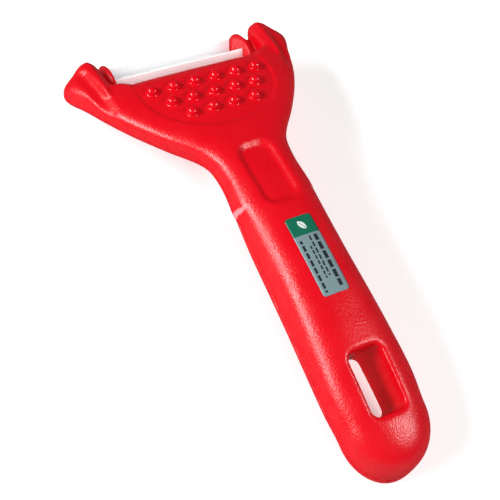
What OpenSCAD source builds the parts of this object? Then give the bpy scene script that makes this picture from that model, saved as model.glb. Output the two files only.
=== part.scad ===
// Y-shaped swivel peeler: a hollow moulded frame with a back cover and a channel blade that
// swings between two lugs. Millimetres, +Y towards the blade, +Z up, blade axis along X.
// The origin is under the middle of the bounding box, on the surface the peeler rests on.

/* [Overall] */
// Handle end to the waist behind the head
handle_len = 92.6; // [75:0.1:120]
// Waist to the front of the lugs
head_len = 57.4; // [48:0.1:75]
// Width over the outer corners of the arms
head_w = 76; // [66:0.5:95]
// Widest part of the grip
grip_w = 27.6; // [22:0.2:34]
// Thickest part of the grip
grip_t = 19.4; // [15:0.2:24]

/* [Moulding] */
// Wall of the frame and of the cover
wall = 2.6; // [1.8:0.1:3.4]
// Radius of the long arch over the grip
arch_r_grip = 270; // [220:5:400]
// Radius of the long arch over the head
arch_r_head = 188; // [160:2:300]
// Distance from the waist to the front end of the back cover
cover_setback = 11.6; // [8:0.1:24]
// Depth of the thumb rest
thumb_depth = 1.3; // [0.6:0.1:1.8]
// Length of the thumb rest
thumb_len = 22.4; // [15:0.1:26]
// Width of the thumb rest
thumb_w = 12.4; // [9:0.2:16]

/* [Blade seat] */
// Clear distance between the inner faces of the lugs
lug_gap = 44.9; // [38:0.1:54]
// Radius of a lug
lug_r = 8.2; // [6.8:0.1:9.8]
// Thickness of a lug
lug_t = 3.8; // [3:0.1:4.6]
// Radius of a pivot pin
pin_r = 1.2; // [0.9:0.05:1.5]
// Radial running clearance of a pin in its lug
pin_clear = 0.06; // [0.03:0.01:0.1]

/* [Blade] */
// Thickness of the blade strip
strip_t = 0.6; // [0.4:0.05:0.8]
// Width of the blade channel
channel_w = 9.4; // [7.8:0.1:11]
// Depth of the blade channel
channel_d = 5.8; // [4.8:0.1:6.8]
// Width of the peeling slot
peel_slot_w = 2.6; // [1.6:0.1:3.6]
// Forward tilt of the channel at rest
channel_tilt = 28; // [10:1:34]
// Gap between the blade's ends and the lugs
blade_end_gap = 0.3; // [0.2:0.05:0.6]

/* [Hanging slot] */
// Length of the hanging slot
hang_len = 18; // [13:0.5:22]
// Width of the hanging slot
hang_w = 10; // [6:0.2:13]
// Distance from the handle end to the middle of the hanging slot
hang_from_end = 24.4; // [20:0.2:32]
// Gap between the slot's sleeve and the back cover
sleeve_gap = 0.1; // [0.05:0.05:0.3]

/* [Bumps] */
// Depth of the half-round recess that the bumps stand in
recess_depth = 0.5; // [0.3:0.05:0.8]
// Half width of the recess
recess_half_w = 21.5; // [18:0.5:28]
// Length of the recess, from its open front edge back
recess_len = 18.2; // [16:0.2:22]
// Distance between bumps in a row
bump_pitch = 6.9; // [5.8:0.1:7.6]
// Radius of a bump where it meets the head
bump_r = 2.3; // [1.6:0.1:2.8]
// Height of a bump
bump_h = 1.4; // [0.8:0.1:2]
// Distance from the head's front edge to the first row
bump_setback = 8.6; // [7:0.2:12]

/* [Label] */
// Length of the label
label_len = 24.2; // [18:0.2:30]
// Width of the label
label_w = 8.2; // [6:0.2:11]
// Thickness of the label
label_t = 0.25; // [0.15:0.05:0.4]
// Distance from the waist back to the middle of the label
label_setback = 33; // [28:0.5:40]

/* [Hidden] */

red = "#e3101f";
steel = "#c9cdd0";
overall_len = handle_len + head_len;
y_end = -overall_len / 2;
y_front = overall_len / 2;
y_waist = y_end + handle_len;

// Blade seat: the lugs stand on the resting surface
pivot_y = y_front - lug_r;
pivot_z = lug_r;
plate_gap = 5.9;
y_plate = pivot_y - plate_gap;
lug_in = lug_gap / 2;
arm_in = lug_in + lug_t;
pin_len = lug_t + 0.8;

// Long arch of the top, highest at the crown
y_crown = y_waist - 9;
z_crown = grip_t + 9.1;
function arch_r(y) = y < y_crown ? arch_r_grip : arch_r_head;
function z_top(y) = z_crown - pow(y - y_crown, 2) / (2 * arch_r(y));
function slope(y) = atan(-(y - y_crown) / arch_r(y));

// Sections along the handle: [share of the handle, share of grip_w, share of grip_t, squareness]
cap_len = 13.6;
grip_rows = [
    [0.147, 0.95, 0.91, 2.4],
    [0.25, 1, 0.915, 2.4],
    [0.39, 0.975, 0.965, 2.4],
    [0.51, 0.942, 0.99, 2.4],
    [0.64, 0.91, 1, 2.4],
    [0.77, 0.9, 0.93, 2.4],
    [0.9, 0.885, 0.74, 2.5],
    [1, 0.865, 0.64, 2.6]
];
// Sections along the head: [share of the head, share of head_w, depth, squareness]
head_rows = [
    [0.13, 0.178, 11.4, 2.8],
    [0.3, 0.28, 11.9, 3],
    [0.44, 0.356, 12.4, 3],
    [0.58, 0.415, 13, 3],
    [0.72, 0.457, 14.2, 3],
    [0.845, 0.5, 15, 2.8],
    [0.905, 0.487, 14.6, 2.7],
    [0.945, 0.444, 14, 2.6],
    [0.968, 0.4, 13, 2.5]
];
rows = concat(
    [for (r = grip_rows) [y_end + r[0] * handle_len, r[1] * grip_w / 2, r[2] * grip_t, r[3]]],
    [for (r = head_rows) [y_waist + r[0] * head_len, r[1] * head_w, r[2], r[3]]]
);
last_row = len(rows) - 1;

// Smooth curve through column c of the rows, at y
function slot_of(y, i = 0) = i >= last_row - 1 || y < rows[i + 1][0] ? i : slot_of(y, i + 1);
function tangent(i, c) =
    i <= 0 || i >= last_row ? 0 : (rows[i + 1][c] - rows[i - 1][c]) / (rows[i + 1][0] - rows[i - 1][0]);
function hermite(t, a, b, ta, tb) =
    (2 * t * t * t - 3 * t * t + 1) * a + (t * t * t - 2 * t * t + t) * ta
    + (3 * t * t - 2 * t * t * t) * b + (t * t * t - t * t) * tb;
function blend(y, c, i) =
    let (span = rows[i + 1][0] - rows[i][0], t = (y - rows[i][0]) / span)
    hermite(t, rows[i][c], rows[i + 1][c], tangent(i, c) * span, tangent(i + 1, c) * span);
function along(y, c) =
    y <= rows[0][0] ? rows[0][c] : y >= rows[last_row][0] ? rows[last_row][c] : blend(y, c, slot_of(y));

// Rounded end of the handle, from 1 where the cap starts to 0 at its tip
function cap_at(y) = min(1, max(0, (y_end + cap_len - y) / cap_len));
function half_w(y) = along(y, 1) * sqrt(max(0, 1 - pow(cap_at(y), 2)));
function half_t(y) = along(y, 2) / 2 * pow(max(0, 1 - pow(cap_at(y), 4)), 0.25);
function z_mid(y) = z_top(y) - along(y, 2) / 2;

// One closed section, inset by `inset`. Open sections run straight down through the underside
ring_n = 40;
open_depth = 30;
function curve(a, n) = sign(a) * pow(abs(a), 2 / n);
function ring(y, inset, open) =
    let (w = half_w(y) - inset, t = half_t(y) - inset, n = along(y, 3))
    [for (k = [0:ring_n - 1])
        let (a = 360 * k / ring_n, c = cos(a), s = sin(a))
        open && s < -0.001
            ? [w * curve(c, 12), y, z_mid(y) - open_depth * min(1, -3 * s)]
            : [w * curve(c, n), y, z_mid(y) + t * curve(s, n)]];

module loft(ys, inset = 0, open = false) {
    m = len(ys);
    points = [for (y = ys) each ring(y, inset, open)];
    sides = [for (i = [0:m - 2]) for (k = [0:ring_n - 1])
        let (a = i * ring_n + k, b = i * ring_n + (k + 1) % ring_n)
        each [[a, b, b + ring_n], [a, b + ring_n, a + ring_n]]];
    ends = [
        [for (k = [ring_n - 1:-1:0]) k],
        [for (k = [0:ring_n - 1]) (m - 1) * ring_n + k]
    ];
    polyhedron(points, concat(sides, ends), convexity = 8);
}

// Places of the sections: close together at the two rounded ends
cap_steps = [0.995, 0.97, 0.91, 0.8, 0.62, 0.4, 0.2];
grip_step = 9.5;
head_step = 4;
y_head = y_waist - 8;
y_last = rows[last_row][0];
grip_ys = [for (y = [y_end + cap_len:grip_step:y_head - 2]) y];
head_ys = [for (y = [y_head:head_step:y_last - 6]) y];
tip_ys = [for (y = [y_last - 4.5:1.5:y_last]) y];
outer_ys = concat([for (c = cap_steps) y_end + cap_len * (1 - c)], grip_ys, head_ys, tip_ys);

module outer() {
    loft(outer_ys);
}

// Rectangle with round corners, made of squares and circles so that it stays exact
module round_rect(w, l, r) {
    square([w - 2 * r, l], center = true);
    square([w, l - 2 * r], center = true);
    for (x = [-1, 1])
        for (y = [-1, 1])
            translate([x * (w / 2 - r), y * (l / 2 - r)]) circle(r, $fn = 32);
}

// Side profile pushed across the whole width
module across(half) {
    rotate([90, 0, 90]) linear_extrude(2 * half, center = true) children();
}

// The cavity under the skin, open downwards, from the handle end to the head's front wall
cavity_from = y_end + cap_len * 0.55;
cavity_to = y_plate - 4;
module cavity() {
    ys = concat([cavity_from], [for (y = grip_ys) y], [for (y = head_ys) if (y < cavity_to - 1) y], [cavity_to]);
    loft(ys, inset = wall, open = true);
}

// The closed cavity of the back cover
module cover_cavity() {
    ys = concat([cavity_from], [for (y = grip_ys) if (y < y_cover - wall - 1) y], [y_cover - wall]);
    loft(ys, inset = wall);
}

// Everything under the parting line, back from the cover's front end
y_cover = y_waist - cover_setback;
part_drop = 1.5;
function z_part(y) = z_mid(y) - part_drop;
z_below = z_part(y_end) - grip_t;
module under_parting() {
    ys = [for (i = [0:12]) y_end - 2 + (y_cover - y_end + 2) * i / 12];
    across(head_w)
        polygon(concat([[y_end - 2, z_below], [y_cover, z_below]], [for (i = [12:-1:0]) [ys[i], z_part(ys[i])]]));
}

// Hanging slot, square to the arch where it stands
hang_y = y_end + hang_from_end;
sleeve_wall = 1.8;
module hang_prism(grow) {
    translate([0, hang_y, z_mid(hang_y)])
        rotate([slope(hang_y), 0, 0])
            linear_extrude(3 * grip_t, center = true) round_rect(hang_w + 2 * grow, hang_len + 2 * grow, 2 + grow);
}

// Opening between the arms, in front of the plate
module arm_opening() {
    translate([0, y_plate + 20, 0])
        linear_extrude(2 * z_crown, center = true) round_rect(2 * arm_in, 40, 1.5);
}

module lug(side) {
    translate([side * (lug_in + lug_t / 2), pivot_y, pivot_z]) rotate([0, 90, 0]) {
        cylinder(r = lug_r, h = lug_t, center = true, $fn = 96);
    }
}

// Bridge from a lug's rim back into the front wall of the head
module lug_root(side) {
    translate([side * (lug_in + lug_t / 2), y_plate - 1.5 + plate_gap / 2, pivot_z + lug_r / 2])
        cube([lug_t, plate_gap + 3, lug_r], center = true);
}

// Half-round recess, open towards the blade and as deep all over
recess_y = y_plate - 9.7;
recess_sides = 16;
module recess() {
    difference() {
        translate([0, recess_y, pivot_z])
            linear_extrude(z_crown)
                polygon(concat(
                    [[recess_half_w, y_plate - recess_y + 1], [-recess_half_w, y_plate - recess_y + 1]],
                    [for (k = [0:recess_sides])
                        let (a = 180 * k / recess_sides)
                        [-recess_half_w * cos(a), -recess_len * sin(a)]]
                ));
        loft(head_ys, inset = recess_depth);
    }
}

// Three rows of domes, the longest row next to the blade
row_counts = [6, 5, 4];
row_gap = bump_pitch * sin(60);
sphere_r = (bump_r * bump_r + bump_h * bump_h) / (2 * bump_h);
module bumps() {
    for (i = [0:2]) {
        y = y_plate - bump_setback - i * row_gap;
        n = row_counts[i];
        for (k = [0:n - 1]) {
            x = (k - (n - 1) / 2) * bump_pitch;
            z = z_mid(y) + half_t(y) * pow(1 - pow(abs(x) / half_w(y), along(y, 3)), 1 / along(y, 3));
            translate([x, y, z - recess_depth + bump_h - sphere_r]) sphere(sphere_r, $fn = 24);
        }
    }
}

// Thumb rest, sunk into the waist along the arch
thumb_y = y_waist - 4.3;
module thumb_rest() {
    translate([0, thumb_y, z_top(thumb_y) - thumb_depth])
        rotate([slope(thumb_y), 0, 0])
            linear_extrude(12) round_rect(thumb_w, thumb_len, 4.5);
}

// Rib that stiffens the head and the waist from inside. Its top stays within the skin
rib_t = 1.8;
module rib() {
    intersection() {
        loft(outer_ys, inset = wall / 2);
        translate([-rib_t / 2, y_cover + 2, pivot_z]) cube([rib_t, cavity_to - y_cover, z_crown]);
    }
}

module bores() {
    translate([0, pivot_y, pivot_z]) rotate([0, 90, 0]) {
        cylinder(r = pin_r + pin_clear, h = 2 * (arm_in + 0.6), center = true, $fn = 48);
    }
}

module handle_frame() {
    color(red) difference() {
        union() {
            difference() {
                union() {
                    difference() {
                        outer();
                        recess();
                    }
                    bumps();
                }
                arm_opening();
                cavity();
                under_parting();
            }
            rib();
            intersection() {
                outer();
                hang_prism(sleeve_wall);
            }
            for (side = [-1, 1]) {
                lug(side);
                lug_root(side);
            }
        }
        hang_prism(0);
        thumb_rest();
        bores();
    }
}

module back_cover() {
    color(red) difference() {
        intersection() {
            outer();
            under_parting();
        }
        cover_cavity();
        hang_prism(sleeve_wall + sleeve_gap);
    }
}

// Blade section, in the YZ plane with the pivot at the middle. The channel opens upwards
mouth_lift = 5.1;
mouth_shift = 1.1;
blade_half = lug_in - blade_end_gap;
module channel_section(shrink = 0) {
    w = channel_w - 2 * shrink;
    d = channel_d - shrink;
    r = min(2.6, w / 2) - shrink / 2;
    translate([mouth_shift, mouth_lift]) {
        translate([-w / 2, r - d]) square([w, d - r]);
        translate([-w / 2 + r, -d]) square([w - 2 * r, r + 0.01]);
        for (s = [-1, 1]) translate([s * (w / 2 - r), r - d]) circle(r, $fn = 48);
    }
}

ear_r = 2.1;
ear_t = 0.8;
module blade() {
    translate([0, pivot_y, pivot_z]) rotate([-channel_tilt, 0, 0]) {
        color(steel) difference() {
            union() {
                difference() {
                    across(blade_half) channel_section();
                    across(blade_half + 1) {
                        channel_section(strip_t);
                        translate([mouth_shift - channel_w, mouth_lift - 0.01]) square([2 * channel_w, 5]);
                    }
                    translate([-blade_half + 3, mouth_shift - peel_slot_w / 2, -channel_d])
                        cube([2 * blade_half - 6, peel_slot_w, channel_d]);
                }
                for (side = [-1, 1])
                    translate([side * (blade_half - ear_t / 2), 0, 0]) rotate([0, 90, 0]) {
                        cylinder(r = ear_r, h = ear_t, center = true, $fn = 48);
                    }
            }
            rotate([0, 90, 0]) cylinder(r = pin_r, h = 2 * lug_gap, center = true, $fn = 48);
        }
    }
}

module pivot_pin(side) {
    color(steel) translate([side * (blade_half - ear_t + pin_len / 2), pivot_y, pivot_z]) rotate([0, 90, 0]) {
        cylinder(r = pin_r, h = pin_len, center = true, $fn = 48);
    }
}

module pivot_pin_left() {
    pivot_pin(-1);
}

module pivot_pin_right() {
    pivot_pin(1);
}

label_y = y_waist - label_setback;
module label() {
    ys = [for (i = [-3:3]) label_y + i * label_len / 5.6];
    color("#7f9ca2") difference() {
        intersection() {
            loft(ys, inset = -label_t);
            translate([0, label_y, z_top(label_y) - 2])
                linear_extrude(5) round_rect(label_w, label_len, 0.8);
        }
        outer();
    }
}

handle_frame();
back_cover();
blade();
pivot_pin_left();
pivot_pin_right();
label();
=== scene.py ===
"""Looks of a Y-shaped swivel peeler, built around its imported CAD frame.

Lengths in the shape functions are millimetres in the row frame: +Y towards the blade, +Z up.
"""

import math

import bpy
import numpy as np
from mathutils import Matrix, Vector


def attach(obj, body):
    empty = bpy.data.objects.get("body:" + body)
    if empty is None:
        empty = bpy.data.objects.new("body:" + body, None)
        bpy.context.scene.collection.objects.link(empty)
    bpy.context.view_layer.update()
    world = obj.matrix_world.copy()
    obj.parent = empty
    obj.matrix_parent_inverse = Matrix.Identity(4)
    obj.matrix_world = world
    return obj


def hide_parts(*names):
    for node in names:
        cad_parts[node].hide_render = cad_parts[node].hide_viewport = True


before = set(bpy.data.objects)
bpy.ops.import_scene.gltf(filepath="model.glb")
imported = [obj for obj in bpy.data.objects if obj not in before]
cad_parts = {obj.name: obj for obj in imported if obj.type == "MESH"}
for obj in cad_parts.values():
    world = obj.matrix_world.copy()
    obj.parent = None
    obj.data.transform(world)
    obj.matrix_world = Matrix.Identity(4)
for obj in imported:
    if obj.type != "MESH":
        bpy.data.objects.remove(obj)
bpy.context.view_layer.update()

bl_info = {
    "name": "Y-shaped swivel peeler",
    "version": (1, 0, 0),
    "blender": (4, 5, 0),
    "location": "3D View > Sidebar > Peeler",
    "description": "Builds the moulded frame, cover, blade and label of a swivel peeler",
    "category": "Object",
}

MM = 0.001

# Sizes that the CAD model has too
Y_END = -75.0
Y_WAIST = 17.6
Y_CROWN = 8.6
Z_CROWN = 28.5
ARCH_GRIP = 270.0
ARCH_HEAD = 188.0
HEAD_LEN = 57.4
HANDLE_LEN = 92.6
HEAD_W = 76.0
GRIP_W = 27.6
GRIP_T = 19.4
CAP_LEN = 13.6
WALL = 2.6
PIVOT = (66.8, 8.2)
Y_PLATE = 60.9
LUG_IN = 22.45
ARM_IN = 26.25
LUG_R = 8.2
Y_COVER = 6.0
PART_DROP = 1.5
HANG_Y = -50.6
HANG_W = 10.0
HANG_LEN = 18.0
SLEEVE_WALL = 1.8
RIB_T = 1.8
BUMP_PITCH = 6.9
BUMP_SETBACK = 8.6
BUMP_ROWS = (6, 5, 4)
RECESS_Y = 51.2
RECESS_HALF_W = 21.5
RECESS_LEN = 18.2
THUMB_Y = 13.3
LABEL_Y = -15.4
LABEL_W = 8.2
LABEL_LEN = 24.2
CHANNEL_TILT = math.radians(28)
STRIP_T = 0.6
CHANNEL_W = 9.4
CHANNEL_D = 5.8
MOUTH_LIFT = 5.1
MOUTH_SHIFT = 1.1
PEEL_SLOT_W = 2.6
BLADE_HALF = LUG_IN - 0.3
EAR_R = 2.1
EAR_T = 0.8
PIN_R = 1.2

# Sizes that only the looks have
THUMB_HALF = (6.5, 11.6)
BUMP_R = 1.85
RECESS_EDGE = 0.7
LUG_HALF_T = 2.05
HORN = ((28.8, 59.5, 17.0), (29.4, 69.8, 14.9))
# Middle line of the cutter that makes the valley behind a horn, and its radii
VALLEY = ((32.6, 67.5, 18.9), (31.5, 57.5, 20.8), (31.0, 51.0, 21.6))
VALLEY_R = (1.3, 1.7, 1.4)
# Plane of the flat shoulder beside a horn: its normal and a point on it
SHOULDER_WAY = (0.437, 0.170, 0.883)
SHOULDER_AT = (31.2, 71.5, 17.1)
# Height of the band's upper end over mid height
BAND_TOP = 5.2

# Share of the handle, share of the grip's width and thickness, squareness
GRIP_ROWS = (
    (0.147, 0.95, 0.91, 2.4), (0.25, 1.0, 0.915, 2.4), (0.39, 0.975, 0.965, 2.4),
    (0.51, 0.942, 0.99, 2.4), (0.64, 0.91, 1.0, 2.4), (0.77, 0.9, 0.93, 2.4),
    (0.9, 0.885, 0.74, 2.5), (1.0, 0.865, 0.64, 2.6),
)
# Share of the head, share of its width, depth in mm, squareness
HEAD_ROWS = (
    (0.13, 0.178, 11.4, 2.8), (0.3, 0.28, 11.9, 3.0), (0.44, 0.356, 12.4, 3.0),
    (0.58, 0.415, 13.0, 3.0), (0.72, 0.457, 14.2, 3.0), (0.845, 0.5, 15.0, 2.8),
    (0.905, 0.487, 14.6, 2.7), (0.945, 0.444, 14.0, 2.6), (0.968, 0.4, 13.0, 2.5),
)
ROWS = np.array(
    [(Y_END + a * HANDLE_LEN, b * GRIP_W / 2, c * GRIP_T / 2, n) for a, b, c, n in GRIP_ROWS]
    + [(Y_WAIST + a * HEAD_LEN, b * HEAD_W, c / 2, n) for a, b, c, n in HEAD_ROWS]
)
SLOPES = np.zeros_like(ROWS)
SLOPES[1:-1] = (ROWS[2:] - ROWS[:-2]) / (ROWS[2:, :1] - ROWS[:-2, :1])


def linear(code):
    """Linear RGBA of an sRGB hex colour."""
    rgb = [int(code[i : i + 2], 16) / 255 for i in (1, 3, 5)]
    return [c / 12.92 if c <= 0.04045 else ((c + 0.055) / 1.055) ** 2.4 for c in rgb] + [1.0]


# ---------------------------------------------------------------- shape functions, in mm


def smooth_max(a, b, k):
    """The larger of two distances, with a rounding k mm wide where they meet."""
    h = np.maximum(k - np.abs(a - b), 0) / k
    return np.maximum(a, b) + h * h * k / 4


def smooth_min(a, b, k):
    return -smooth_max(-a, -b, k)


def ramp(v):
    """Soft step from 0 to 1 as v goes from 0 to 1."""
    v = np.clip(v, 0, 1)
    return v * v * (3 - 2 * v)


def top(y):
    """Height of the long arch of the top."""
    return Z_CROWN - (y - Y_CROWN) ** 2 / (2 * np.where(y < Y_CROWN, ARCH_GRIP, ARCH_HEAD))


def section(y):
    """Half width, half thickness, squareness and mid height of the moulding at y."""
    yc = np.clip(y, ROWS[0, 0], ROWS[-1, 0])
    i = np.clip(np.searchsorted(ROWS[:, 0], yc, side="right") - 1, 0, len(ROWS) - 2)
    span = ROWS[i + 1, 0] - ROWS[i, 0]
    t = (yc - ROWS[i, 0]) / span
    h0, h1 = 2 * t**3 - 3 * t**2 + 1, 3 * t**2 - 2 * t**3
    s0, s1 = (t**3 - 2 * t**2 + t) * span, (t**3 - t**2) * span
    w, half, n = (
        h0 * ROWS[i, c] + s0 * SLOPES[i, c] + h1 * ROWS[i + 1, c] + s1 * SLOPES[i + 1, c]
        for c in (1, 2, 3)
    )
    mid = top(y) - half
    cap = np.clip((Y_END + CAP_LEN - y) / CAP_LEN, 0, 1)
    w = w * np.sqrt(np.maximum(1e-4, 1 - cap**2))
    half = half * np.maximum(1e-4, 1 - cap**4) ** 0.25
    return w, half, n, mid


def mid_of(y):
    return section(y)[3]


def skin(x, y, z, opened=False):
    """Distance outside the moulding's outer skin. Opened, its sides run straight down."""
    w, half, n, mid = section(y)
    a = np.abs(x) / w
    b = (z - mid) / half
    b = np.maximum(b, 0) if opened else np.abs(b)
    g = np.maximum((a**n + b**n) ** (1 / n), 1e-4)
    lean = np.hypot((a / g) ** (n - 1) / w, (b / g) ** (n - 1) / half)
    return np.maximum((g - 1) / np.maximum(lean, 1e-4), Y_END - y)


def tube(x, y, z, a, b, ra, rb):
    """Distance from a tube with round ends that runs from a to b."""
    ax = [b[i] - a[i] for i in range(3)]
    t = ((x - a[0]) * ax[0] + (y - a[1]) * ax[1] + (z - a[2]) * ax[2]) / sum(c * c for c in ax)
    t = np.clip(t, 0, 1)
    gap = np.sqrt(sum((v - p - t * c) ** 2 for v, p, c in zip((x, y, z), a, ax)))
    return gap - (ra + t * (rb - ra))


def round_rect(x, y, half_x, half_y, r):
    """Distance from a rectangle with round corners."""
    dx, dy = np.abs(x) - half_x + r, np.abs(y) - half_y + r
    return np.hypot(np.maximum(dx, 0), np.maximum(dy, 0)) + np.minimum(np.maximum(dx, dy), 0) - r


def hang_prism(x, y, z):
    """Distance from the hanging slot, square to the arch where it stands."""
    lean = math.atan((Y_CROWN - HANG_Y) / ARCH_GRIP)
    mid = mid_of(np.array([HANG_Y]))[0]
    along = (y - HANG_Y) * math.cos(lean) + (z - mid) * math.sin(lean)
    return round_rect(x, along, HANG_W / 2, HANG_LEN / 2, 2.2)


def bump_places():
    """Middle of each dome, in rows. The longest row is next to the blade."""
    for i, count in enumerate(BUMP_ROWS):
        y = Y_PLATE - BUMP_SETBACK - i * BUMP_PITCH * math.sin(math.radians(60))
        for k in range(count):
            yield (k - (count - 1) / 2) * BUMP_PITCH, y


def surface_height(x, y):
    w, half, n, mid = section(np.asarray(y, float))
    return mid + half * np.maximum(1 - (np.abs(x) / w) ** n, 0) ** (1 / n)


def recess_mask(x, y):
    """1 inside the half-round recess and 0 outside, faded out at the front edge."""
    edge = np.hypot(x / RECESS_HALF_W, np.minimum(y - RECESS_Y, 0) / RECESS_LEN)
    mean_radius = 19
    side = ramp((1 - edge) * mean_radius / RECESS_EDGE + 0.5)
    return side * ramp((Y_PLATE - 1.2 - y) / 7.0)


def step_band(y, z):
    """The slanting band at the cover's front end: its start, its length and its strength."""
    rise = z - mid_of(y)
    start = 5.0 + 0.16 * (BAND_TOP - rise)
    span = 1.0 + 0.14 * np.clip(BAND_TOP - rise, 0, 7)
    return start, span, ramp((BAND_TOP + 0.4 - rise) / 2.2)


def with_arms(d, x, y, z):
    """Adds horns and shoulders. The arms' front leans back, and a valley runs behind each horn."""
    front = 0.91 * (y - 71.6 - 0.45 * (z - 16.2) + 0.12 * np.maximum(x - 29, 0))
    d = smooth_max(d, front, 3.0)
    r = bpy.context.scene.peeler_sizes.horn_radius / MM
    d = smooth_min(d, tube(x, y, z, *HORN, r - 0.4, r), 2.4)

    shoulder = sum(n * (v - p) for n, v, p in zip(SHOULDER_WAY, (x, y, z), SHOULDER_AT))
    width = section(y)[0]
    shoulder = smooth_max(shoulder, x - width + 1.3, 2.5)
    shoulder = np.maximum.reduce([shoulder, 57.0 - y, 29.0 - x, mid_of(y) - z])
    d = smooth_min(d, smooth_max(shoulder, front, 2.4), 2.0)
    for i in (0, 1):
        cut = tube(x, y, z, VALLEY[i], VALLEY[i + 1], VALLEY_R[i], VALLEY_R[i + 1])
        valley = cut if i == 0 else np.minimum(valley, cut)
    return smooth_max(d, -valley, 1.7)


def with_sunk_top(d, x, y, z):
    """Sinks the dished thumb rest and the recess under the bumps into the top."""
    s = bpy.context.scene.peeler_sizes
    well = round_rect(x, y - THUMB_Y, *THUMB_HALF, 4.9)
    sink = s.thumb_depth / MM * ramp(-well / 2.8)
    sink = sink + s.recess_depth / MM * recess_mask(x, y)
    return d + np.where(z > mid_of(y), sink, 0)


def with_bumps(d, x, y, z):
    s = bpy.context.scene.peeler_sizes
    rise = s.bump_height / MM
    for bx, by in bump_places():
        if bx < -0.1:
            continue
        bz = float(surface_height(bx, by)) - s.recess_depth / MM
        lean = (by - Y_CROWN) / ARCH_HEAD
        up = (z - bz) + (y - by) * lean
        out = np.hypot(x - bx, (y - by) - (z - bz) * lean)
        dome = ((out / BUMP_R) ** 2.2 + (np.maximum(up, 0) / rise) ** 2.2) ** (1 / 2.2)
        d = smooth_min(d, np.maximum((dome - 1) * 1.9, -2.0 - up), 0.35)
    return d


def with_hollows(d, x, y, z):
    """Cuts the space between the arms, the hollow under the skin and the cover's place."""
    gap = smooth_max(x - ARM_IN, Y_PLATE - y, 2.0)
    # The plate has a full round nose, the arms' inner edges only a small radius
    d = smooth_max(d, -gap, 7.0 - 5.2 * ramp((x - 19) / 6))
    hollow = skin(x, y, z, opened=True) + WALL
    hollow = smooth_max(hollow, y - (Y_PLATE - 4), 1.5)
    hollow = smooth_max(hollow, Y_END + 0.55 * CAP_LEN - y, 1.5)
    d = smooth_max(d, -hollow, 1.0)
    part = smooth_max(y - Y_COVER, z - (mid_of(y) - PART_DROP), 0.6)
    return smooth_max(d, -part, 0.45)


def with_rib_and_sleeve(d, outer, x, y, z):
    """Adds the rib under the head and the wall round the slot. Their tops stay in the skin."""
    rib = np.maximum.reduce(
        [x - RIB_T / 2, outer + 0.75 * WALL, Y_COVER + 2 - y, y - Y_PLATE + 4, LUG_R - z]
    )
    d = smooth_min(d, rib, 0.9)
    sunk = outer + 0.8 * ramp((z - mid_of(y)) / 3)
    sleeve = smooth_max(sunk, hang_prism(x, y, z) - SLEEVE_WALL, 0.5)
    return smooth_min(d, sleeve, 0.5)


def with_lugs(d, x, y, z):
    """Adds a lug, coned on its outer side, with its root and the pin's blind bore."""
    side = np.abs(x - (LUG_IN + LUG_HALF_T)) - LUG_HALF_T
    reach = np.hypot(y - PIVOT[0], z - PIVOT[1])
    rim = (reach - LUG_R + 0.9 * np.maximum(x - 23.2, 0)) / 1.2
    lug = smooth_max(rim, side, 0.8)
    root = np.maximum.reduce([side, np.abs(y - 62.2) - 4.4, np.abs(z - 11.0) - 2.8])
    d = smooth_min(d, smooth_min(lug, root, 0.9), 0.8)
    return smooth_max(d, -np.maximum(reach - PIN_R - 0.1, x - 26.05), 0.3)


def frame_field(x, y, z):
    s = bpy.context.scene.peeler_sizes
    x = np.abs(x)
    outer = skin(x, y, z)
    start, span, low = step_band(y, z)
    proud = ramp((y - start) / span) * low
    d = outer - s.step_height / MM * proud * np.exp(-np.maximum(y - start - span, 0) / 7)
    d = with_arms(d, x, y, z)
    d = with_sunk_top(d, x, y, z)
    d = with_bumps(d, x, y, z)
    d = with_hollows(d, x, y, z)
    d = with_rib_and_sleeve(d, outer, x, y, z)
    d = with_lugs(d, x, y, z)
    return smooth_max(d, -hang_prism(x, y, z), s.slot_rim / MM)


def cover_field(x, y, z):
    gap = bpy.context.scene.peeler_sizes.seam_gap / MM
    outer = skin(x, y, z)
    d = smooth_max(outer, z - (mid_of(y) - PART_DROP - gap), 0.45)
    d = smooth_max(d, y - (Y_COVER - gap), 0.45)
    d = smooth_max(d, -(outer + WALL), 0.6)
    return smooth_max(d, -(hang_prism(x, y, z) - SLEEVE_WALL - 0.12), 0.4)


def blade_field(x, y, z):
    """Strip folded to a channel, with a slot whose one edge is raised and ground to cut."""
    x = np.abs(x)
    dy, dz = y - PIVOT[0], z - PIVOT[1]
    v = dy * math.cos(CHANNEL_TILT) - dz * math.sin(CHANNEL_TILT) - MOUTH_SHIFT
    u = dy * math.sin(CHANNEL_TILT) + dz * math.cos(CHANNEL_TILT) - MOUTH_LIFT
    # Outline of the fold, tall enough that only its lower part is used
    tall = 20.0
    outline = round_rect(v, u + CHANNEL_D - tall, CHANNEL_W / 2, tall, 2.6)
    lift = 0.55 * ramp((v + 2.3) / 1.0) * ramp(-v / 0.6 + 1.6) * ramp((19.6 - x) / 2)
    strip = np.abs(outline + STRIP_T / 2 + np.where(u < -3, lift, 0)) - STRIP_T / 2
    strip = smooth_max(strip, u, 0.25)
    mouth = round_rect(x, v + MOUTH_SHIFT - 0.4, BLADE_HALF - 3, PEEL_SLOT_W / 2, 1.0)
    strip = smooth_max(strip, -np.maximum(mouth, u + CHANNEL_D - 2.4), 0.25)
    reach = np.hypot(dy, dz)
    ear = np.maximum(reach - EAR_R, np.abs(x - BLADE_HALF + EAR_T / 2) - EAR_T / 2)
    d = smooth_min(smooth_max(strip, x - BLADE_HALF, 0.2), ear, 0.3)
    return np.maximum(d, PIN_R + 0.01 - reach)


# ---------------------------------------------------------------- mesh from a field


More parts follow.
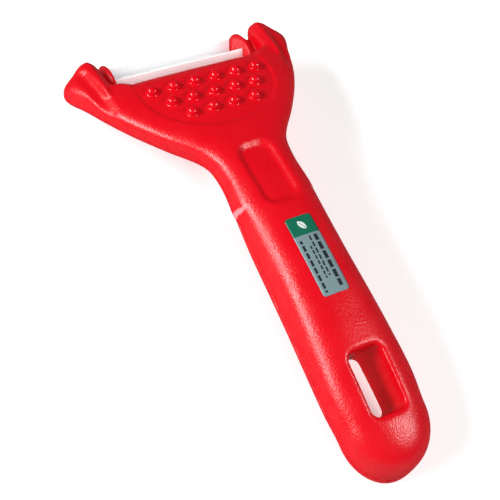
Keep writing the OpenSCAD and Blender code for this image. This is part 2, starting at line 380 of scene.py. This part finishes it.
def quads_of(field, low, high, step):
    """Closed quad mesh where the field is zero: one corner for each cell that it crosses."""
    axes = [np.arange(a, b + step, step) for a, b in zip(low, high)]
    value = field(*np.meshgrid(*axes, indexing="ij"))
    inside = value < 0
    cells = [n - 1 for n in value.shape]
    count = np.zeros(cells, np.uint8)
    for i in (0, 1):
        for j in (0, 1):
            for k in (0, 1):
                count += inside[i : i + cells[0], j : j + cells[1], k : k + cells[2]]
    where = np.argwhere((count > 0) & (count < 8))
    number = np.full(cells, -1, np.int64)
    number[tuple(where.T)] = np.arange(len(where))
    total = np.zeros((len(where), 3))
    hits = np.zeros(len(where))
    for axis in range(3):
        for a in (0, 1):
            for b in (0, 1):
                corner = np.zeros(3, int)
                corner[(axis + 1) % 3], corner[(axis + 2) % 3] = a, b
                other = corner.copy()
                other[axis] = 1
                v0 = value[tuple((where + corner).T)]
                v1 = value[tuple((where + other).T)]
                crossed = (v0 < 0) != (v1 < 0)
                t = v0[crossed] / (v0[crossed] - v1[crossed])
                point = np.tile(corner.astype(float), (len(t), 1))
                point[:, axis] = t
                total[crossed] += point
                hits[crossed] += 1
    points = np.array(low) + step * (where + total / hits[:, None])
    faces = []
    for axis in range(3):
        u, v = (axis + 1) % 3, (axis + 2) % 3
        before = np.take(inside, range(cells[axis]), axis)
        after = np.take(inside, range(1, cells[axis] + 1), axis)
        edge = np.argwhere(before != after)
        edge = edge[
            (edge[:, u] > 0) & (edge[:, v] > 0) & (edge[:, u] < cells[u]) & (edge[:, v] < cells[v])
        ]
        ring = []
        for du, dv in ((-1, -1), (0, -1), (0, 0), (-1, 0)):
            at = edge.copy()
            at[:, u] += du
            at[:, v] += dv
            ring.append(number[tuple(at.T)])
        ring = np.stack(ring, 1)
        leaves = before[tuple(edge.T)]
        ring[~leaves] = ring[~leaves][:, ::-1]
        faces.append(ring)
    return points, np.concatenate(faces)


def settle(points, faces, field, step, rounds=3):
    """Evens the mesh out and puts each corner exactly on the field's zero."""
    links = np.concatenate([faces[:, [i, (i + 1) % 4]] for i in range(4)])
    links = np.concatenate([links, links[:, ::-1]])
    degree = np.bincount(links[:, 0], minlength=len(points))[:, None]
    e = 0.02
    for _ in range(rounds):
        mean = np.stack(
            [np.bincount(links[:, 0], points[links[:, 1], c], len(points)) for c in range(3)], 1
        )
        points = points + 0.5 * (mean / degree - points)
        for _ in range(2):
            here = field(*points.T)
            slope = np.stack(
                [(field(*(points + e * np.eye(3)[c]).T) - here) / e for c in range(3)], 1
            )
            size = np.maximum((slope**2).sum(1), 0.05)
            move = -here[:, None] * slope / size[:, None]
            far = np.maximum(np.linalg.norm(move, axis=1), 1e-9)[:, None]
            points = points + move * np.minimum(1, 0.5 * step / far)
    return points


def solid(name, field, low, high, step):
    """A smooth-shaded object whose surface is the field's zero."""
    points, faces = quads_of(field, low, high, step)
    points = settle(points, faces, field, step)
    mesh = bpy.data.meshes.new(name)
    mesh.vertices.add(len(points))
    mesh.vertices.foreach_set("co", (points * MM).ravel())
    mesh.loops.add(faces.size)
    mesh.loops.foreach_set("vertex_index", faces.ravel())
    mesh.polygons.add(len(faces))
    mesh.polygons.foreach_set("loop_start", np.arange(0, faces.size, 4))
    mesh.polygons.foreach_set("use_smooth", np.ones(len(faces), bool))
    mesh.update(calc_edges=True)
    if mesh.validate():
        raise RuntimeError(f"{name}: the mesh had bad faces")
    obj = bpy.data.objects.new(name, mesh)
    bpy.context.scene.collection.objects.link(obj)
    return obj, points


def mark(obj, name, values):
    """Stores one number for each corner, which the material reads as a mask."""
    layer = obj.data.attributes.new(name, "FLOAT", "POINT")
    layer.data.foreach_set("value", np.asarray(values, np.float32))


# ---------------------------------------------------------------- materials


def add(tree, kind, links=(), **settings):
    """Adds a node, sets its properties and sockets, and links sockets to other nodes' outputs.

    A setting named with a leading underscore is a property, any other is an input socket's
    value, where in_0 is the first socket. links are (socket, node, output) triples.
    """
    node = tree.nodes.new(kind)
    for key, value in settings.items():
        if key.startswith("_"):
            setattr(node, key[1:], value)
    for key, value in settings.items():
        if not key.startswith("_"):
            node.inputs[int(key[3:]) if key.startswith("in_") else key].default_value = value
    for socket, source, output in links:
        tree.links.new(source.outputs[output], node.inputs[socket])
    return node


def math_node(tree, kind, a, b=0.0):
    """One sum of two values. Each is a number or a node, whose first output is taken."""
    links = [(i, v, 0) for i, v in enumerate((a, b)) if not isinstance(v, (int, float))]
    values = {f"in_{i}": v for i, v in enumerate((a, b)) if isinstance(v, (int, float))}
    return add(tree, "ShaderNodeMath", links, _operation=kind, **values)


def new_material(name):
    mat = bpy.data.materials.new(name)
    mat.use_nodes = True
    tree = mat.node_tree
    tree.nodes.clear()
    return mat, tree


def finish_material(tree, shader):
    add(tree, "ShaderNodeOutputMaterial", [("Surface", shader, 0)])


def millimetres(tree):
    """Place on the object in mm, so that a pattern's scale is cells in each mm."""
    place = add(tree, "ShaderNodeTexCoord")
    return add(
        tree, "ShaderNodeVectorMath", [(0, place, "Object")], _operation="SCALE", Scale=1 / MM
    )


def moulded_polypropylene(finish):
    """Injection-moulded polypropylene from a spark-eroded mould.

    The eroded mould leaves fine rounded pits that break each highlight into grain. The bumps
    and the slot's walls come from polished steel, so they keep small sharp highlights.
    """
    mat, tree = new_material("moulded_polypropylene")
    place = millimetres(tree)
    polish = add(tree, "ShaderNodeAttribute", _attribute_name="polish")
    scar = add(tree, "ShaderNodeAttribute", _attribute_name="scar")

    # Pigment is never mixed quite evenly: clouds about 12 mm across
    clouds = add(tree, "ShaderNodeTexNoise", [("Vector", place, 0)], Scale=0.08, Detail=3.0)
    tint = add(
        tree, "ShaderNodeMix", [("Factor", clouds, 0)], _data_type="RGBA",
        in_6=finish.plastic_dark[:] + (1,), in_7=finish.plastic[:] + (1,),
    )
    # Painted highlight: the slanting band at the cover's front end is mixed towards pale red as the
    # glint of light on its step
    pale = add(
        tree, "ShaderNodeMix", [("Factor", scar, "Fac"), (6, tint, 2)], _data_type="RGBA",
        in_7=finish.plastic_glint[:] + (1,),
    )

    # Real pits are about 0.15 mm. They are drawn at 0.45 mm, the finest that shows
    pits = add(
        tree, "ShaderNodeTexVoronoi", [("Vector", place, 0)],
        _feature="SMOOTH_F1", Scale=1 / 0.45, Randomness=1.0,
    )
    grains = add(tree, "ShaderNodeTexNoise", [("Vector", place, 0)], Scale=1 / 0.9, Detail=4.0)
    grain = math_node(tree, "ADD", pits, grains)
    matt = add(tree, "ShaderNodeMath", [(1, polish, "Fac")], _operation="SUBTRACT", in_0=1.0)
    relief = math_node(tree, "MULTIPLY", grain, matt)
    bump = add(
        tree, "ShaderNodeBump", [("Height", relief, 0)], Strength=0.6, Distance=0.1 * MM
    )

    # Handling wears the tops of the grain smooth in patches about 6 mm across
    worn = add(tree, "ShaderNodeTexNoise", [("Vector", place, 0)], Scale=0.16, Detail=5.0)
    rough = add(
        tree, "ShaderNodeMapRange", [("Value", worn, 0)],
        in_1=0.35, in_2=0.65, in_3=0.27, in_4=0.36,
    )
    gloss = add(tree, "ShaderNodeMath", [(0, polish, "Fac")], _operation="MULTIPLY", in_1=-0.16)
    rough = math_node(tree, "ADD", rough, gloss)
    shader = add(
        tree, "ShaderNodeBsdfPrincipled",
        [("Base Color", pale, 2), ("Roughness", rough, 0), ("Normal", bump, 0)],
        IOR=1.49,
    )
    finish_material(tree, shader)
    return mat


def rolled_stainless(finish):
    """Cold-rolled stainless strip, pressed and tumbled: rolling lines run along the blade.

    It is only part metallic, for a pale sheet. A full metal would mirror the dark round the lights.
    """
    mat, tree = new_material("rolled_stainless")
    place = millimetres(tree)
    # Rolling lines about 0.2 mm apart and many mm long
    lines = add(
        tree, "ShaderNodeVectorMath", [(0, place, 0)], _operation="MULTIPLY", in_1=(0.06, 5.0, 5.0)
    )
    streak = add(tree, "ShaderNodeTexNoise", [("Vector", lines, 0)], Scale=1.0, Detail=4.0)
    rough = add(
        tree, "ShaderNodeMapRange", [("Value", streak, 0)],
        in_1=0.3, in_2=0.7, in_3=0.32, in_4=0.46,
    )
    tint = add(
        tree, "ShaderNodeMix", [("Factor", streak, 0)], _data_type="RGBA",
        in_6=finish.steel_dark[:] + (1,), in_7=finish.steel[:] + (1,),
    )
    bump = add(
        tree, "ShaderNodeBump", [("Height", streak, 0)], Strength=0.12, Distance=0.02 * MM
    )
    shader = add(
        tree, "ShaderNodeBsdfPrincipled",
        [("Base Color", tint, 2), ("Roughness", rough, 0), ("Normal", bump, 0)],
        Metallic=0.3,
    )
    finish_material(tree, shader)
    return mat


def drawn_wire(finish):
    """Drawn stainless wire: bright, with fine die lines along its length."""
    mat, tree = new_material("drawn_wire")
    place = millimetres(tree)
    lines = add(
        tree, "ShaderNodeVectorMath", [(0, place, 0)], _operation="MULTIPLY", in_1=(0.2, 8.0, 8.0)
    )
    streak = add(tree, "ShaderNodeTexNoise", [("Vector", lines, 0)], Scale=1.0, Detail=2.0)
    rough = add(
        tree, "ShaderNodeMapRange", [("Value", streak, 0)], in_3=0.2, in_4=0.34
    )
    shader = add(
        tree, "ShaderNodeBsdfPrincipled", [("Roughness", rough, 0)], Metallic=1.0,
        **{"Base Color": finish.steel[:] + (1,)},
    )
    finish_material(tree, shader)
    return mat


def printed_film(finish):
    """Printed and laminated polyester film: flat inks under a clear glossy face.

    A green cap holds a plain leaf. Below it dark bars stand where a maker prints small words.
    """
    mat, tree = new_material("printed_film")
    place = millimetres(tree)
    axes = add(tree, "ShaderNodeSeparateXYZ", [(0, place, 0)])

    def m(kind, a, b=0.0):
        return math_node(tree, kind, a, b)

    x = axes
    y = add(tree, "ShaderNodeMath", [(0, axes, 1)], _operation="SUBTRACT", in_1=LABEL_Y)

    def within(value, low, high, soft=0.06):
        """About 1 between low and high, with an ink edge soft mm wide."""
        up = add(tree, "ShaderNodeMapRange", [("Value", value, 0)], in_1=low, in_2=low + soft)
        down = add(tree, "ShaderNodeMapRange", [("Value", value, 0)], in_1=high, in_2=high - soft)
        return m("MULTIPLY", up, down)

    cap = within(y, LABEL_LEN / 2 - 5.9, LABEL_LEN)
    # Leaf: where two discs overlap, with a midrib left green
    turn, leaf_y = math.radians(35), 9.2
    rise = m("SUBTRACT", y, leaf_y)
    lx = m("ADD", m("MULTIPLY", x, math.cos(turn)), m("MULTIPLY", rise, math.sin(turn)))
    ly = m("SUBTRACT", m("MULTIPLY", rise, math.cos(turn)), m("MULTIPLY", x, math.sin(turn)))
    disc = []
    for side in (-1, 1):
        off = m("ADD", lx, side * 1.1)
        disc.append(m("SQRT", m("ADD", m("MULTIPLY", off, off), m("MULTIPLY", ly, ly))))
    leaf = m("MULTIPLY", within(disc[0], -9, 2.0), within(disc[1], -9, 2.0))
    midrib = m("SUBTRACT", 1.0, m("MULTIPLY", within(lx, -0.12, 0.12), within(ly, -9, 1.0)))
    leaf = m("MULTIPLY", leaf, midrib)

    # Bars along the film: middle of the column, its width, start and end, pitch and filled share
    ink = None
    for middle, wide, start, stop, pitch, fill in (
        (-2.75, 0.80, -11.2, 4.8, 2.30, 0.82),
        (-0.75, 0.55, -7.4, 2.6, 1.60, 0.78),
        (0.40, 0.60, -7.0, 5.6, 2.00, 0.80),
        (2.20, 1.20, -10.6, 5.6, 2.90, 0.86),
    ):
        wave = m("FRACT", m("DIVIDE", m("ADD", y, 40.0), pitch))
        bar = m("MULTIPLY", within(x, middle - wide / 2, middle + wide / 2), within(y, start, stop))
        bar = m("MULTIPLY", bar, within(wave, 0.02, fill, 0.02))
        ink = bar if ink is None else m("MAXIMUM", ink, bar)

    panel = add(
        tree, "ShaderNodeMix", [("Factor", ink, 0)], _data_type="RGBA",
        in_6=finish.film[:] + (1,), in_7=finish.film_ink[:] + (1,),
    )
    green = add(
        tree, "ShaderNodeMix", [("Factor", leaf, 0)], _data_type="RGBA",
        in_6=finish.film_green[:] + (1,), in_7=finish.film_leaf[:] + (1,),
    )
    face = add(
        tree, "ShaderNodeMix", [("Factor", cap, 0), (6, panel, 2), (7, green, 2)], _data_type="RGBA"
    )
    # Ink lies unevenly in specks about 0.5 mm across
    specks = add(tree, "ShaderNodeTexNoise", [("Vector", place, 0)], Scale=2.0, Detail=3.0)
    worn = add(
        tree, "ShaderNodeMapRange", [("Value", specks, 0)], in_3=0.9, in_4=1.1
    )
    face = add(
        tree, "ShaderNodeVectorMath", [(0, face, 2), ("Scale", worn, 0)], _operation="SCALE"
    )
    rough = add(
        tree, "ShaderNodeMapRange", [("Value", specks, 0)], in_3=0.24, in_4=0.4
    )
    shader = add(
        tree, "ShaderNodeBsdfPrincipled", [("Base Color", face, 0), ("Roughness", rough, 0)],
        IOR=1.5,
    )
    finish_material(tree, shader)
    return mat


def pale_paper():
    """Seamless background paper, pressed matt: a faint tooth keeps it from looking empty."""
    mat, tree = new_material("pale_paper")
    place = millimetres(tree)
    tooth = add(tree, "ShaderNodeTexNoise", [("Vector", place, 0)], Scale=0.5, Detail=4.0)
    bump = add(tree, "ShaderNodeBump", [("Height", tooth, 0)], Strength=0.1, Distance=0.05 * MM)
    shader = add(
        tree, "ShaderNodeBsdfPrincipled", [("Normal", bump, 0)],
        **{"Base Color": linear("#F4F4F4"), "Roughness": 0.9, "Specular IOR Level": 0.1,
           "Emission Color": (1, 1, 1, 1), "Emission Strength": 0.4},
    )
    finish_material(tree, shader)
    return mat


# ---------------------------------------------------------------- settings


def length(name, description, default, low, high):
    return bpy.props.FloatProperty(
        name=name, description=description, default=default * MM, min=low * MM, max=high * MM,
        unit="LENGTH", precision=5,
    )


def colour(name, description, code):
    return bpy.props.FloatVectorProperty(
        name=name, description=description, default=linear(code)[:3], min=0, max=1,
        subtype="COLOR", size=3,
    )


class PeelerSizes(bpy.types.PropertyGroup):
    horn_radius: length("Horn radius", "Radius of the horn on each arm", 3.4, 2, 4)
    thumb_depth: length("Thumb rest depth", "How deep the thumb rest is sunk", 1.4, 0.5, 2)
    recess_depth: length("Recess depth", "Depth of the recess under the bumps", 0.5, 0.1, 1)
    bump_height: length("Bump height", "How far a bump stands out", 2.2, 0.5, 2.5)
    step_height: length("Step height", "How proud the frame stands of the cover", 0.2, 0, 1)
    slot_rim: length("Slot rim", "Width of the rounding round the hanging slot", 2.0, 0.5, 3)
    seam_gap: length("Seam gap", "Gap between the frame and the cover", 0.12, 0.05, 0.3)
    film_thickness: length("Film thickness", "Thickness of the label", 0.2, 0.1, 0.4)
    cell: length("Cell", "Grid cell that the mouldings are meshed with", 0.55, 0.3, 2)
    blade_cell: length("Blade cell", "Grid cell that the blade is meshed with", 0.2, 0.1, 0.5)


class PeelerFinish(bpy.types.PropertyGroup):
    plastic: colour("Plastic", "Red of the mouldings", "#E8061B")
    plastic_dark: colour("Plastic, dark", "Red where the pigment is dense", "#DC0418")
    # Pale red of the painted highlight on the band at the cover's front end
    plastic_glint: colour("Plastic, pale", "Red of the painted highlight on the band", "#FF9AA0")
    steel: colour("Steel", "Colour of the blade", "#F4F6F7")
    steel_dark: colour("Steel, dark", "Colour in the rolling lines", "#E3E6E8")
    film: colour("Film", "Grey of the label's panel", "#7D9499")
    film_ink: colour("Film ink", "Dark ink of the label", "#1E2A2C")
    film_green: colour("Film green", "Green of the label's cap", "#116B52")
    film_leaf: colour("Film leaf", "Leaf on the label's cap", "#E6EFE9")


# ---------------------------------------------------------------- operators


def plastic_material():
    return bpy.data.materials.get("moulded_polypropylene") or moulded_polypropylene(
        bpy.context.scene.peeler_finish
    )


def cell_size():
    return bpy.context.scene.peeler_sizes.cell / MM * 1


class PEELER_OT_handle_frame(bpy.types.Operator):
    """Build the moulded frame: grip top, head with bumps, arms, lugs and slot"""

    bl_idname = "peeler.handle_frame"
    bl_label = "Handle frame"

    def execute(self, context):
        low, high = (-39.2, -76.1, -1.1), (39.2, 76.1, 30.2)
        obj, p = solid("frame_moulding", frame_field, low, high, cell_size())
        x, y, z = p.T
        near = np.min([np.hypot(x - bx, y - by) for bx, by in bump_places()], axis=0)
        polish = np.where(z > mid_of(y), ramp((2.5 - near) / 0.8), 0)
        polish = np.maximum(polish, ramp((0.6 - hang_prism(x, y, z)) / 0.8))
        mark(obj, "polish", polish)
        # Painted highlight: mask of the band at the cover's front end, which the material paints
        # pale as the glint on its step
        start, span, strength = step_band(y, z)
        scar = ramp((y - start + 0.1) / 0.3) * ramp((start + span + 0.1 - y) / 0.3) * strength
        mark(obj, "scar", np.where(np.abs(x) > 6, scar, 0) * 0.85)
        obj.data.materials.append(plastic_material())
        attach(obj, "frame")
        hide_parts("handle_frame")
        return {"FINISHED"}


class PEELER_OT_back_cover(bpy.types.Operator):
    """Build the cover that closes the grip from below"""

    bl_idname = "peeler.back_cover"
    bl_label = "Back cover"

    def execute(self, context):
        low, high = (-15.2, -76.1, -1.1), (15.2, 7.5, 22.2)
        obj, _ = solid("cover_moulding", cover_field, low, high, cell_size())
        obj.data.materials.append(plastic_material())
        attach(obj, "frame")
        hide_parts("back_cover")
        return {"FINISHED"}


class PEELER_OT_blade(bpy.types.Operator):
    """Build the channel blade and give the pins their finish"""

    bl_idname = "peeler.blade"
    bl_label = "Blade and pins"

    def execute(self, context):
        sizes, finish = context.scene.peeler_sizes, context.scene.peeler_finish
        step = sizes.blade_cell / MM * 1
        obj, _ = solid("channel_blade", blade_field, (-22.6, 62.5, 5.0), (22.6, 76.0, 16.0), step)
        obj.data.materials.append(rolled_stainless(finish))
        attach(obj, "blade")
        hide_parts("blade")
        wire = drawn_wire(finish)
        for node in ("pivot_pin_left", "pivot_pin_right"):
            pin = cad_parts[node]
            pin.material_slots[0].material = wire
            bevel = pin.modifiers.new("turned edge", "BEVEL")
            bevel.width = 0.15 * MM
            bevel.segments = 3
        return {"FINISHED"}


class PEELER_OT_label(bpy.types.Operator):
    """Lay the printed film on the grip"""

    bl_idname = "peeler.label"
    bl_label = "Label"

    def execute(self, context):
        sizes, finish = context.scene.peeler_sizes, context.scene.peeler_finish
        corner, rows, columns = 0.9, 97, 17
        inset = 0.02
        half_w, half_l = LABEL_W / 2 - inset, LABEL_LEN / 2 - inset
        turn = np.linspace(-math.pi / 2, math.pi / 2, rows)
        ys = half_l * np.sin(turn)
        bend = np.maximum(np.abs(ys) - (half_l - corner), 0)
        wide = half_w - corner + np.sqrt(np.maximum(corner**2 - bend**2, 0))
        share = np.linspace(-1, 1, columns)
        x = wide[:, None] * share
        y = np.repeat(ys[:, None] + LABEL_Y, columns, 1)
        z = surface_height(x, y) + inset
        points = np.stack([x, y, z], 2).reshape(-1, 3)
        first = (np.arange(rows - 1)[:, None] * columns + np.arange(columns - 1)).ravel()
        faces = np.stack([first, first + 1, first + columns + 1, first + columns], 1)
        mesh = bpy.data.meshes.new("label_film")
        mesh.from_pydata((points * MM).tolist(), [], faces.tolist())
        mesh.polygons.foreach_set("use_smooth", np.ones(len(faces), bool))
        obj = bpy.data.objects.new("label_film", mesh)
        context.scene.collection.objects.link(obj)
        thick = obj.modifiers.new("film", "SOLIDIFY")
        thick.thickness = sizes.film_thickness
        thick.offset = 1
        obj.data.materials.append(printed_film(finish))
        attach(obj, "frame")
        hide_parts("label")
        return {"FINISHED"}


class PEELER_OT_stage(bpy.types.Operator):
    """Set up the floor, the soft lights and the camera"""

    bl_idname = "peeler.stage"
    bl_label = "Stage"

    def execute(self, context):
        scene = context.scene
        mesh = bpy.data.meshes.new("floor")
        half, below = 3.0, -0.0004
        corners = [(-half, -half), (half, -half), (half, half), (-half, half)]
        mesh.from_pydata([(a, b, below) for a, b in corners], [], [(0, 1, 2, 3)])
        floor = bpy.data.objects.new("floor", mesh)
        scene.collection.objects.link(floor)
        floor.data.materials.append(pale_paper())
        # Kept out of reflections: the mouldings would mirror the white paper as a pink haze
        floor.visible_glossy = False

        world = bpy.data.worlds.new("studio")
        scene.world = world
        world.use_nodes = True
        back = world.node_tree.nodes["Background"]
        back.inputs["Color"].default_value = (1, 1, 1, 1)
        back.inputs["Strength"].default_value = 0.07

        # Direction from the object, distance in m, width and height in m, power in W
        for name, way, far, wide, high, power in (
            ("strip_left", (-0.80, 0.20, 0.57), 0.75, 0.55, 0.2, 5.5),
            ("box_right", (0.55, -0.36, 0.75), 0.75, 0.2, 0.2, 2.2),
            ("fill_above", (-0.25, -0.75, 0.95), 1.3, 0.9, 0.9, 4.0),
            ("card_for_blade", (-0.35, -0.60, 0.90), 0.6, 0.5, 0.3, 3.3),
        ):
            lamp = bpy.data.lights.new(name, "AREA")
            lamp.shape = "RECTANGLE"
            lamp.size, lamp.size_y, lamp.energy = wide, high, power
            light = bpy.data.objects.new(name, lamp)
            scene.collection.objects.link(light)
            way = Vector(way).normalized()
            light.location = way * far
            light.rotation_mode = "QUATERNION"
            light.rotation_quaternion = (-way).to_track_quat("-Z", "Y")
            light.visible_glossy = name != "fill_above"
            if name == "card_for_blade":
                # This one lights the blade and nothing else
                lit = bpy.data.collections.new("lit_by_card")
                lit.objects.link(bpy.data.objects["channel_blade"])
                light.light_linking.receiver_collection = lit

        cam = bpy.data.cameras.new("camera")
        cam.lens = 78.67
        cam.sensor_width = 36.0
        cam.clip_start, cam.clip_end = 0.01, 20
        eye = bpy.data.objects.new("camera", cam)
        scene.collection.objects.link(eye)
        # The view's right and up, along the axes of the row frame
        right = Vector((0.86660822, -0.45178255, 0.21185542))
        up = Vector((0.28954818, 0.80107243, 0.5238748))
        back = right.cross(up)
        turn = Matrix((right, up, back)).transposed().to_4x4()
        eye.matrix_world = Matrix.Translation((-0.13514, -0.12218, 0.26723)) @ turn
        scene.camera = eye
        scene.view_settings.view_transform = "Standard"
        scene.view_settings.look = "None"
        return {"FINISHED"}


PIECES = (
    PEELER_OT_handle_frame,
    PEELER_OT_back_cover,
    PEELER_OT_blade,
    PEELER_OT_label,
    PEELER_OT_stage,
)


class PEELER_PT_panel(bpy.types.Panel):
    """Lists the pieces in the order they are built"""

    bl_idname = "PEELER_PT_panel"
    bl_label = "Peeler"
    bl_space_type = "VIEW_3D"
    bl_region_type = "UI"
    bl_category = "Peeler"

    def draw(self, context):
        column = self.layout.column()
        for piece in PIECES:
            column.operator(piece.bl_idname)
        for group in (context.scene.peeler_sizes, context.scene.peeler_finish):
            for key in group.__annotations__:
                column.prop(group, key)


CLASSES = (PeelerSizes, PeelerFinish, *PIECES, PEELER_PT_panel)


def register():
    for cls in CLASSES:
        bpy.utils.register_class(cls)
    bpy.types.Scene.peeler_sizes = bpy.props.PointerProperty(type=PeelerSizes)
    bpy.types.Scene.peeler_finish = bpy.props.PointerProperty(type=PeelerFinish)


def unregister():
    del bpy.types.Scene.peeler_finish
    del bpy.types.Scene.peeler_sizes
    for cls in reversed(CLASSES):
        bpy.utils.unregister_class(cls)


def main():
    register()
    for piece in PIECES:
        group, name = piece.bl_idname.split(".")
        getattr(getattr(bpy.ops, group), name)()


if __name__ == "__main__":
    main()
